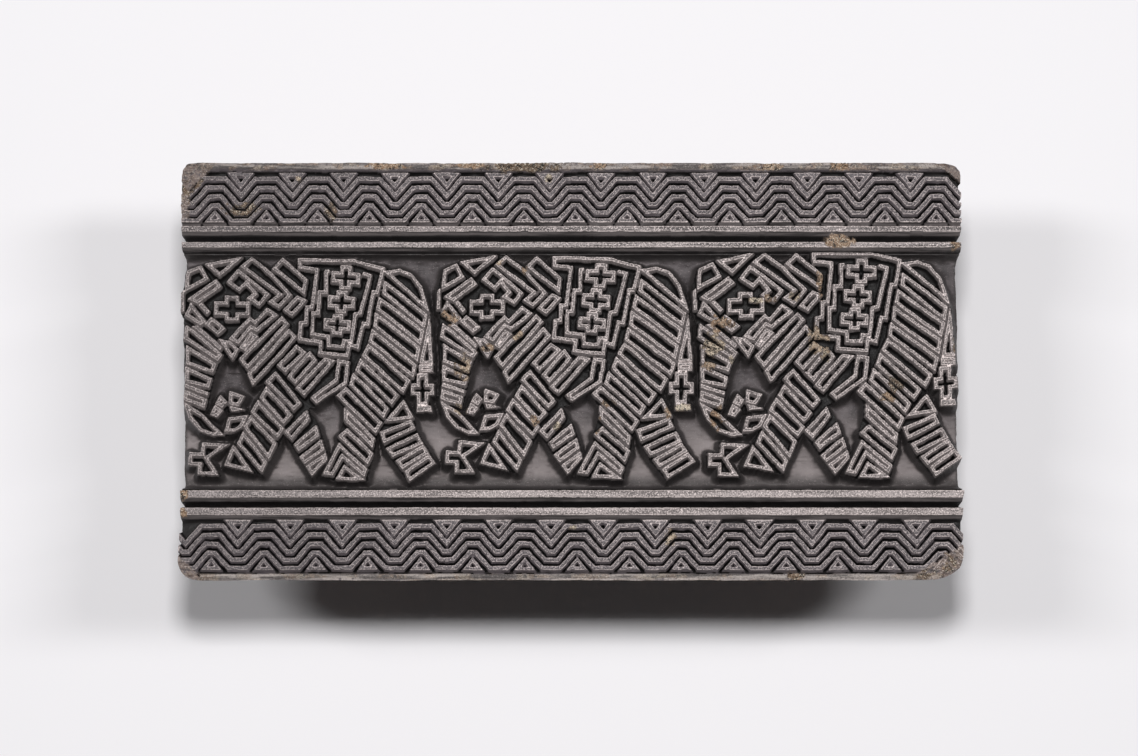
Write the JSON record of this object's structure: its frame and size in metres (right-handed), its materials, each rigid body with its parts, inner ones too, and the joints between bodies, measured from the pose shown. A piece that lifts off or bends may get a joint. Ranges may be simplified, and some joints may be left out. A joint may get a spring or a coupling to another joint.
{
  "type": "textile printing block",
  "caption": "Carved wooden hand block for printing a border of walking elephants between zigzag bands on cloth, with a grip bar on cleats behind it.",
  "frame": {"origin": "middle of the block on the outer face of the grip bar, which is the lowest face when the block lies carved side up", "axes": "+X along the border, +Y across it towards the elephants' backs, +Z out of the printing face"},
  "size_m": [0.202, 0.108, 0.064],
  "materials": {
    "stained_wood": "matt wood stained black by printing paste",
    "handled_wood": "bare wood polished by the hand",
    "nail_iron": "dull forged iron"
  },
  "bodies": {
    "root": {"carved_plank": "stained_wood", "left_cleat": "handled_wood", "right_cleat": "handled_wood", "grip_bar": "handled_wood", "bar_nail_1": "nail_iron", "bar_nail_2": "nail_iron", "bar_nail_3": "nail_iron", "bar_nail_4": "nail_iron", "cleat_nail_1": "nail_iron", "cleat_nail_2": "nail_iron", "cleat_nail_3": "nail_iron", "cleat_nail_4": "nail_iron"}
  },
  "joints": []
}
